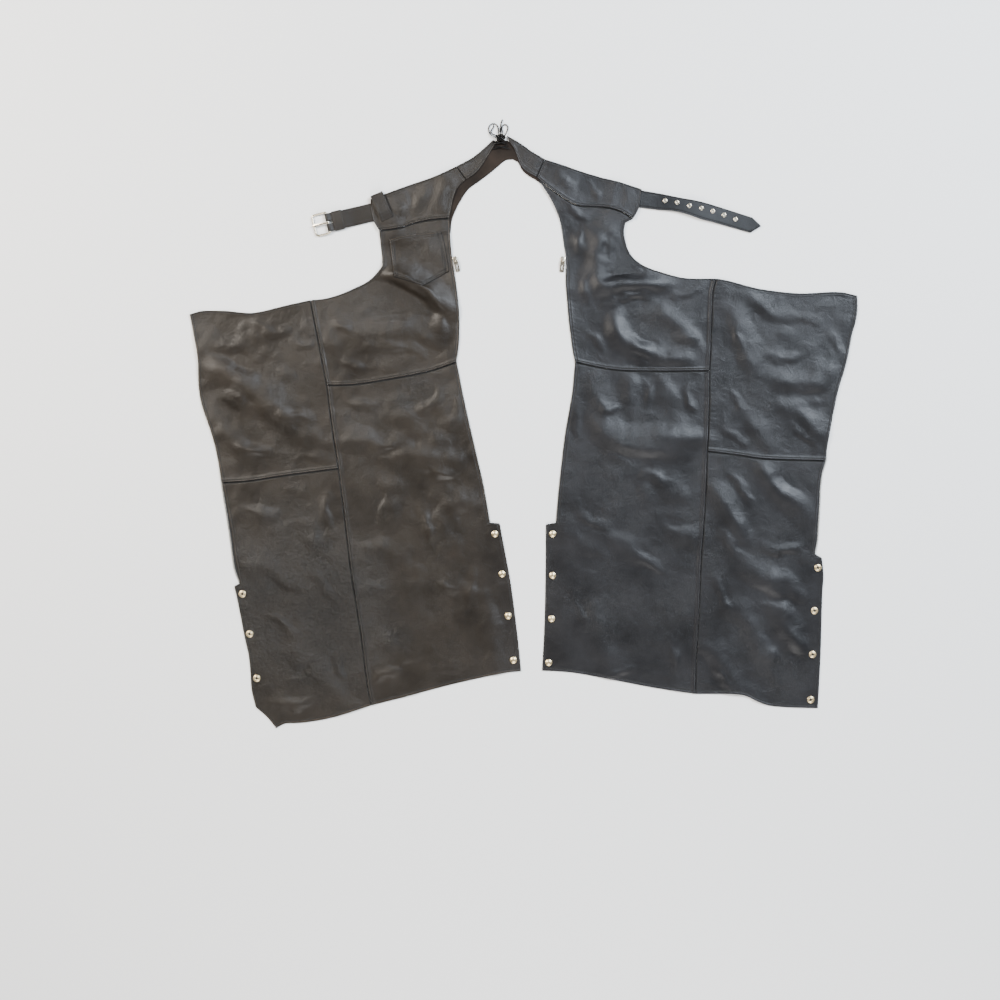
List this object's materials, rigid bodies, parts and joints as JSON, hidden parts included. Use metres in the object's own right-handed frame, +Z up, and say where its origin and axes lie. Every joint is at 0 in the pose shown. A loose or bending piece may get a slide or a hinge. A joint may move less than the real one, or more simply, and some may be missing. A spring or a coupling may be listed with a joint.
{
  "type": "leather chaps",
  "caption": "Full-length black leather chaps laid open flat, with a laced back, a belt strap and buckle, a pointed pocket, side zips and snap flaps.",
  "frame": {"origin": "the middle of the garment's box, on the surface that it lies on, measured without the lace's bows and free ends", "axes": "+Z up from the surface, +Y towards the waist, +X towards the wearer's right leg"},
  "size_m": [1.4023, 1.2782, 0.0182],
  "materials": {
    "black_hide": "soft grained hide with a low sheen",
    "flesh_side": "napped brown-black flesh side",
    "nickel": "polished nickel plate",
    "pale_brass": "pale worn brass",
    "zip_tape": "woven black tape with metal teeth",
    "lace_thong": "round leather thong"
  },
  "bodies": {
    "root": {"left_thigh": "black_hide", "left_shin": "black_hide", "left_back_thigh": "black_hide", "left_back_calf": "black_hide", "left_yoke": "black_hide", "left_back_yoke": "black_hide", "right_thigh": "black_hide", "right_shin": "black_hide", "right_back_thigh": "black_hide", "right_back_calf": "black_hide", "right_yoke": "black_hide", "right_back_yoke": "black_hide", "back_facing": "flesh_side", "pocket": "black_hide", "buckle_strap": "black_hide", "keeper": "black_hide", "belt_loop": "black_hide", "punched_strap": "black_hide", "eyelet_1": "nickel", "eyelet_2": "nickel", "eyelet_3": "nickel", "eyelet_4": "nickel", "eyelet_5": "nickel", "eyelet_6": "nickel", "eyelet_7": "nickel", "slider_left": "nickel", "slider_right": "nickel", "snap_cap_left_1": "pale_brass", "snap_cap_left_2": "pale_brass", "snap_cap_left_3": "pale_brass", "snap_cap_left_4": "pale_brass", "snap_cap_right_1": "pale_brass", "snap_cap_right_2": "pale_brass", "snap_cap_right_3": "pale_brass", "snap_cap_right_4": "pale_brass", "snap_socket_left_1": "pale_brass", "snap_socket_left_2": "pale_brass", "snap_socket_left_3": "pale_brass", "snap_socket_right_1": "pale_brass", "snap_socket_right_2": "pale_brass", "snap_socket_right_3": "pale_brass", "snap_socket_right_4": "pale_brass", "zip_left_front": "zip_tape", "zip_left_back": "zip_tape", "zip_right_front": "zip_tape", "zip_right_back": "zip_tape", "lace_knot": "lace_thong", "lacing_under": "lace_thong", "lacing_over": "lace_thong", "lace_bow_left": "lace_thong", "lace_bow_right": "lace_thong", "lace_end_left": "lace_thong", "lace_end_right": "lace_thong"},
    "buckle_frame": {"buckle_frame": "nickel"},
    "prong": {"prong": "nickel"},
    "pull_left": {"pull_left": "nickel"},
    "pull_right": {"pull_right": "nickel"}
  },
  "joints": [
    {"name": "buckle_frame_swing", "type": "hinge", "parent": "root", "child": "buckle_frame", "pos_m": [-0.4104, 0.4382, 0.0044], "axis": [-0.2317, 0.9728, 0], "range_deg": [0, 90]},
    {"name": "prong_swing", "type": "hinge", "parent": "buckle_frame", "child": "prong", "pos_m": [-0.4104, 0.4382, 0.0044], "axis": [-0.2317, 0.9728, 0], "range_deg": [0, 60]},
    {"name": "pull_left_swing", "type": "hinge", "parent": "root", "child": "pull_left", "pos_m": [-0.143, 0.3582, 0.006], "axis": [-0.9703, -0.2419, 0], "range_deg": [0, 150]},
    {"name": "pull_right_swing", "type": "hinge", "parent": "root", "child": "pull_right", "pos_m": [0.0823, 0.3582, 0.006], "axis": [-0.9945, 0.1045, 0], "range_deg": [0, 150]}
  ]
}
